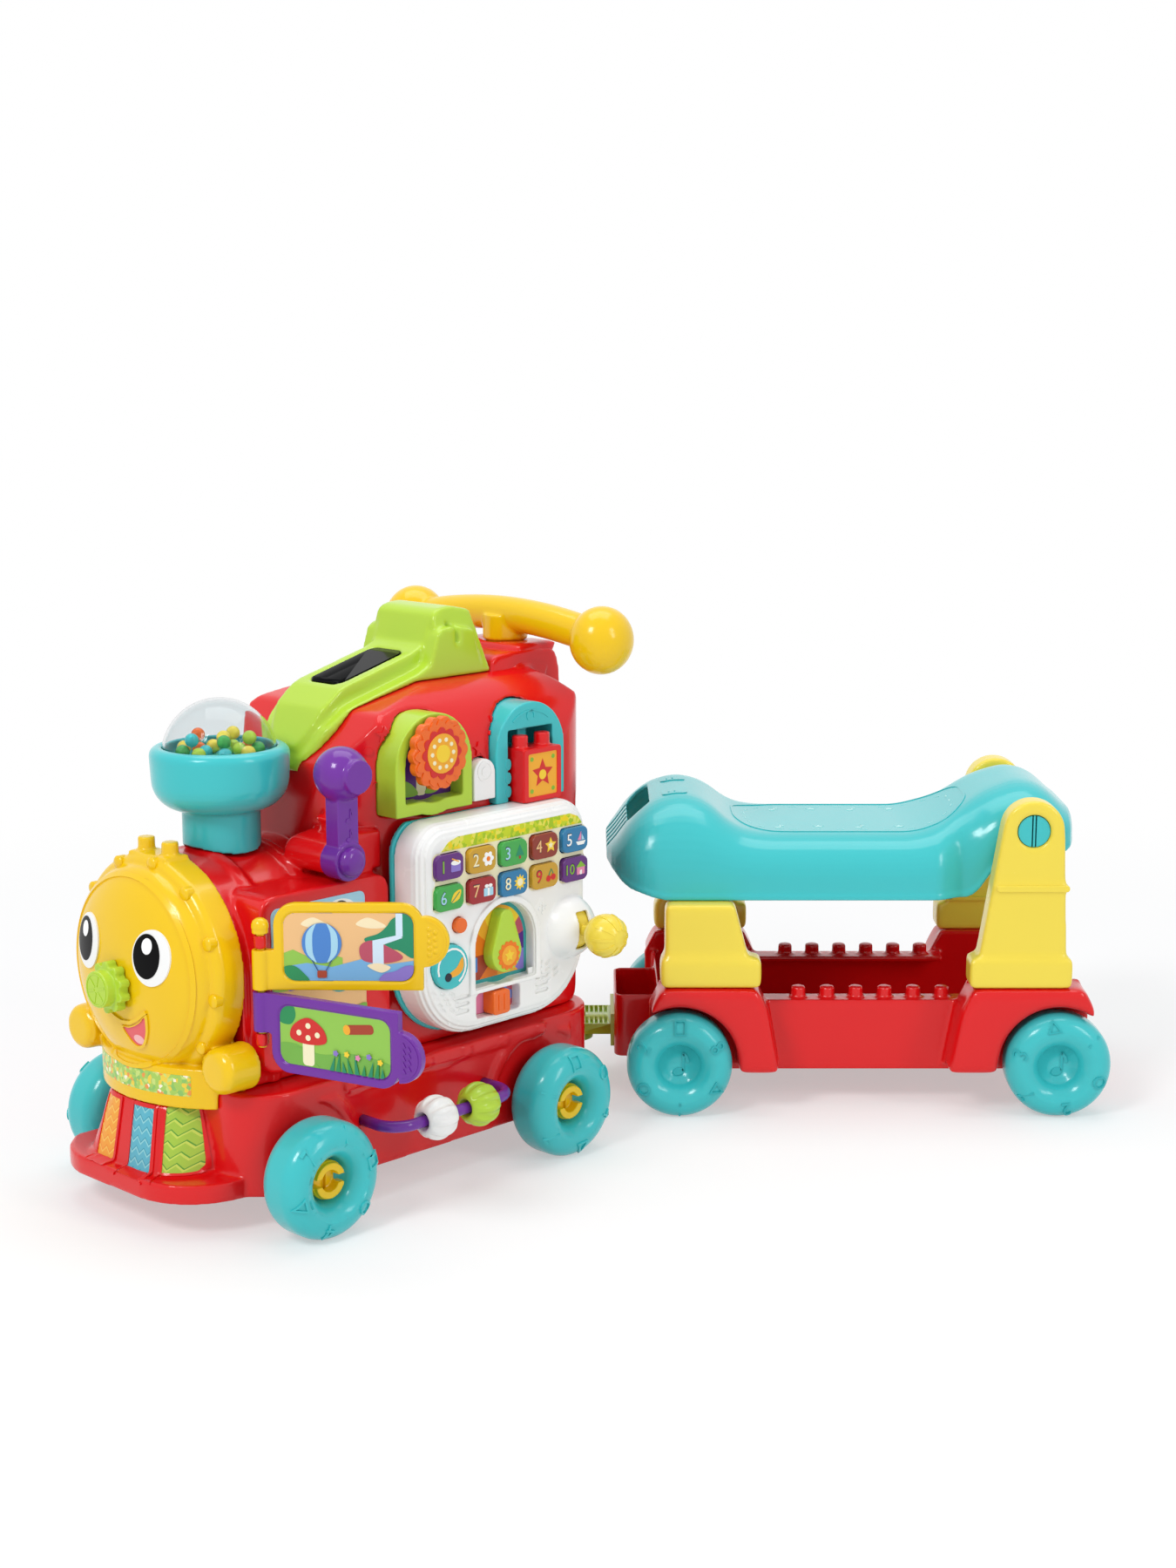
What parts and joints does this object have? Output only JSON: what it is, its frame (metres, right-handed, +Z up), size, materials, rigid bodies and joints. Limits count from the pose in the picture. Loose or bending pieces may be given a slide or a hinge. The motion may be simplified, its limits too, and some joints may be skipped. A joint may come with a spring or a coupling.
{
  "type": "ride on train",
  "caption": "Ride on toy train: a smiling locomotive with a push handle, activity panel and pages, hitched to a seat wagon with stud rails, on fat plastic wheels.",
  "frame": {"origin": "on the floor under the middle of the whole train's box, with the hitch turned as in the picture", "axes": "+X along the wagon from its hitch to its rear, +Z up, +Y away from the picture's viewer; the locomotive is turned about the hitch"},
  "size_m": [0.8615, 0.5869, 0.4419],
  "materials": {
    "red_shell": "moulded, glossy",
    "yellow_parts": "moulded, glossy",
    "pale_yellow_parts": "moulded, glossy",
    "white_parts": "moulded, glossy",
    "green_parts": "moulded, glossy",
    "teal_parts": "moulded, glossy",
    "purple_parts": "moulded, glossy",
    "orange_parts": "moulded, glossy",
    "clear_dome": "clear moulded plastic",
    "black_window": "high gloss",
    "gold_keys": "translucent look, glossy",
    "leaf_keys": "translucent look, glossy",
    "brown_keys": "translucent look, glossy",
    "blue_keys": "translucent look, glossy",
    "printed_card": "printed card, satin",
    "dark_works": "matte",
    "steel": "plain steel"
  },
  "bodies": {
    "locomotive": {"chassis_shell": "red_shell", "upper_shell": "red_shell", "face_plate": "yellow_parts", "eyes": "white_parts", "chimney_bowl": "teal_parts", "popper_dome": "clear_dome", "popper_balls": "orange_parts", "top_hood": "green_parts", "hood_window": "black_window", "push_handle": "yellow_parts", "window_frame": "green_parts", "block_niche": "teal_parts", "control_panel": "white_parts", "panel_back": "teal_parts", "printed_cards": "printed_card", "sound_unit": "dark_works", "draw_bar": "green_parts", "battery_pack": "dark_works", "battery_door": "red_shell", "shell_screws": "steel", "axle_hubs": "yellow_parts", "hinge_post": "yellow_parts", "bead_rod": "purple_parts"},
    "wagon": {"wagon_chassis": "red_shell", "hitch_bar": "green_parts", "front_posts": "pale_yellow_parts", "rear_posts": "pale_yellow_parts"},
    "wagon_wheelset_front": {"wagon_wheels_front": "teal_parts", "wagon_axle_front": "steel"},
    "wagon_wheelset_rear": {"wagon_wheels_rear": "teal_parts", "wagon_axle_rear": "steel"},
    "seat": {"seat": "teal_parts"},
    "loco_wheel_front_left": {"loco_wheel_front_left": "teal_parts"},
    "loco_wheel_front_right": {"loco_wheel_front_right": "teal_parts"},
    "loco_wheel_rear_left": {"loco_wheel_rear_left": "teal_parts"},
    "loco_wheel_rear_right": {"loco_wheel_rear_right": "teal_parts"},
    "nose_gear": {"nose_gear": "green_parts"},
    "side_lever": {"side_lever": "purple_parts"},
    "light_button": {"light_button": "orange_parts"},
    "door_key": {"door_key": "white_parts"},
    "music_button": {"music_button": "orange_parts"},
    "melody_button": {"melody_button": "teal_parts"},
    "dial_pointer": {"dial_pointer": "green_parts"},
    "slide_switch": {"slide_switch": "orange_parts"},
    "ball_lever": {"ball_lever": "pale_yellow_parts"},
    "page_upper": {"page_upper": "yellow_parts"},
    "page_lower": {"page_lower": "purple_parts"},
    "bead_front": {"bead_front": "white_parts"},
    "bead_rear": {"bead_rear": "green_parts"},
    "letter_block": {"letter_block": "red_shell"},
    "number_key_1": {"number_key_1": "purple_parts"},
    "number_key_2": {"number_key_2": "gold_keys"},
    "number_key_3": {"number_key_3": "leaf_keys"},
    "number_key_4": {"number_key_4": "brown_keys"},
    "number_key_5": {"number_key_5": "blue_keys"},
    "number_key_6": {"number_key_6": "leaf_keys"},
    "number_key_7": {"number_key_7": "red_shell"},
    "number_key_8": {"number_key_8": "blue_keys"},
    "number_key_9": {"number_key_9": "gold_keys"},
    "number_key_10": {"number_key_10": "purple_parts"}
  },
  "joints": [
    {"name": "loco_wheel_front_left_spin", "type": "hinge", "parent": "locomotive", "child": "loco_wheel_front_left", "pos_m": [-0.21214, -0.22921, 0.045], "axis": [-0.723, 0.6909, 0], "continuous": true},
    {"name": "loco_wheel_front_right_spin", "type": "hinge", "parent": "locomotive", "child": "loco_wheel_front_right", "pos_m": [-0.39071, -0.05857, 0.045], "axis": [-0.723, 0.6909, 0], "continuous": true},
    {"name": "loco_wheel_rear_left_spin", "type": "hinge", "parent": "locomotive", "child": "loco_wheel_rear_left", "pos_m": [-0.03596, -0.04486, 0.045], "axis": [-0.723, 0.6909, 0], "continuous": true},
    {"name": "loco_wheel_rear_right_spin", "type": "hinge", "parent": "locomotive", "child": "loco_wheel_rear_right", "pos_m": [-0.21454, 0.12579, 0.045], "axis": [-0.723, 0.6909, 0], "continuous": true},
    {"name": "hitch_turn", "type": "hinge", "parent": "locomotive", "child": "wagon", "pos_m": [-0.0248, 0.1644, 0.056], "axis": [0, 0, 1], "range_deg": [-13.7, 106.3]},
    {"name": "wagon_wheels_front_spin", "type": "hinge", "parent": "wagon", "child": "wagon_wheelset_front", "pos_m": [0.0637, 0.1644, 0.045], "axis": [0, 1, 0], "continuous": true},
    {"name": "wagon_wheels_rear_spin", "type": "hinge", "parent": "wagon", "child": "wagon_wheelset_rear", "pos_m": [0.3857, 0.1644, 0.045], "axis": [0, 1, 0], "continuous": true},
    {"name": "seat_lift", "type": "hinge", "parent": "wagon", "child": "seat", "pos_m": [0.3597, 0.1644, 0.247], "axis": [0, 1, 0], "range_deg": [0, 95]},
    {"name": "nose_spin", "type": "hinge", "parent": "locomotive", "child": "nose_gear", "pos_m": [-0.3661, -0.19275, 0.182], "axis": [0.6909, 0.723, 0], "continuous": true},
    {"name": "side_lever_swing", "type": "hinge", "parent": "locomotive", "child": "side_lever", "pos_m": [-0.20585, -0.14809, 0.269], "axis": [0.723, -0.6909, 0], "range_deg": [0, 40]},
    {"name": "light_button_press", "type": "slide", "parent": "locomotive", "child": "light_button", "axis": [-0.723, 0.6909, 0], "range_m": [0, 0.0022], "stiffness_N_per_m": 600},
    {"name": "door_key_press", "type": "slide", "parent": "locomotive", "child": "door_key", "axis": [-0.723, 0.6909, 0], "range_m": [0, 0.003], "stiffness_N_per_m": 600},
    {"name": "number_key_1_press", "type": "slide", "parent": "locomotive", "child": "number_key_1", "axis": [-0.723, 0.6909, 0], "range_m": [0, 0.002], "stiffness_N_per_m": 600},
    {"name": "number_key_2_press", "type": "slide", "parent": "locomotive", "child": "number_key_2", "axis": [-0.723, 0.6909, 0], "range_m": [0, 0.002], "stiffness_N_per_m": 600},
    {"name": "number_key_3_press", "type": "slide", "parent": "locomotive", "child": "number_key_3", "axis": [-0.723, 0.6909, 0], "range_m": [0, 0.002], "stiffness_N_per_m": 600},
    {"name": "number_key_4_press", "type": "slide", "parent": "locomotive", "child": "number_key_4", "axis": [-0.723, 0.6909, 0], "range_m": [0, 0.002], "stiffness_N_per_m": 600},
    {"name": "number_key_5_press", "type": "slide", "parent": "locomotive", "child": "number_key_5", "axis": [-0.723, 0.6909, 0], "range_m": [0, 0.002], "stiffness_N_per_m": 600},
    {"name": "number_key_6_press", "type": "slide", "parent": "locomotive", "child": "number_key_6", "axis": [-0.723, 0.6909, 0], "range_m": [0, 0.002], "stiffness_N_per_m": 600},
    {"name": "number_key_7_press", "type": "slide", "parent": "locomotive", "child": "number_key_7", "axis": [-0.723, 0.6909, 0], "range_m": [0, 0.002], "stiffness_N_per_m": 600},
    {"name": "number_key_8_press", "type": "slide", "parent": "locomotive", "child": "number_key_8", "axis": [-0.723, 0.6909, 0], "range_m": [0, 0.002], "stiffness_N_per_m": 600},
    {"name": "number_key_9_press", "type": "slide", "parent": "locomotive", "child": "number_key_9", "axis": [-0.723, 0.6909, 0], "range_m": [0, 0.002], "stiffness_N_per_m": 600},
    {"name": "number_key_10_press", "type": "slide", "parent": "locomotive", "child": "number_key_10", "axis": [-0.723, 0.6909, 0], "range_m": [0, 0.002], "stiffness_N_per_m": 600},
    {"name": "music_button_press", "type": "slide", "parent": "locomotive", "child": "music_button", "axis": [-0.723, 0.6909, 0], "range_m": [0, 0.002], "stiffness_N_per_m": 600},
    {"name": "melody_button_press", "type": "slide", "parent": "locomotive", "child": "melody_button", "axis": [-0.723, 0.6909, 0], "range_m": [0, 0.002], "stiffness_N_per_m": 600},
    {"name": "dial_turn", "type": "hinge", "parent": "locomotive", "child": "dial_pointer", "pos_m": [-0.08017, -0.07592, 0.177], "axis": [-0.723, 0.6909, 0], "range_deg": [-50, 50]},
    {"name": "switch_slide", "type": "slide", "parent": "locomotive", "child": "slide_switch", "axis": [0.6909, 0.723, 0], "range_m": [-0.012, 0.012]},
    {"name": "ball_lever_swing", "type": "hinge", "parent": "locomotive", "child": "ball_lever", "pos_m": [-0.0348, -0.01831, 0.184], "axis": [0.6909, 0.723, 0], "range_deg": [-20, 20]},
    {"name": "page_upper_turn", "type": "hinge", "parent": "locomotive", "child": "page_upper", "pos_m": [-0.25288, -0.22625, 0.129], "axis": [0, 0, -1], "range_deg": [-39, 93]},
    {"name": "page_lower_turn", "type": "hinge", "parent": "locomotive", "child": "page_lower", "pos_m": [-0.25288, -0.22625, 0.129], "axis": [0, 0, -1], "range_deg": [-66, 66]},
    {"name": "bead_front_slide", "type": "slide", "parent": "locomotive", "child": "bead_front", "axis": [0.6909, 0.723, 0], "range_m": [-0.008, 0.007]},
    {"name": "bead_rear_slide", "type": "slide", "parent": "locomotive", "child": "bead_rear", "axis": [0.6909, 0.723, 0], "range_m": [-0.007, 0.005]},
    {"name": "letter_block_pull", "type": "slide", "parent": "locomotive", "child": "letter_block", "axis": [0.723, -0.6909, 0], "range_m": [0, 0.045]}
  ]
}
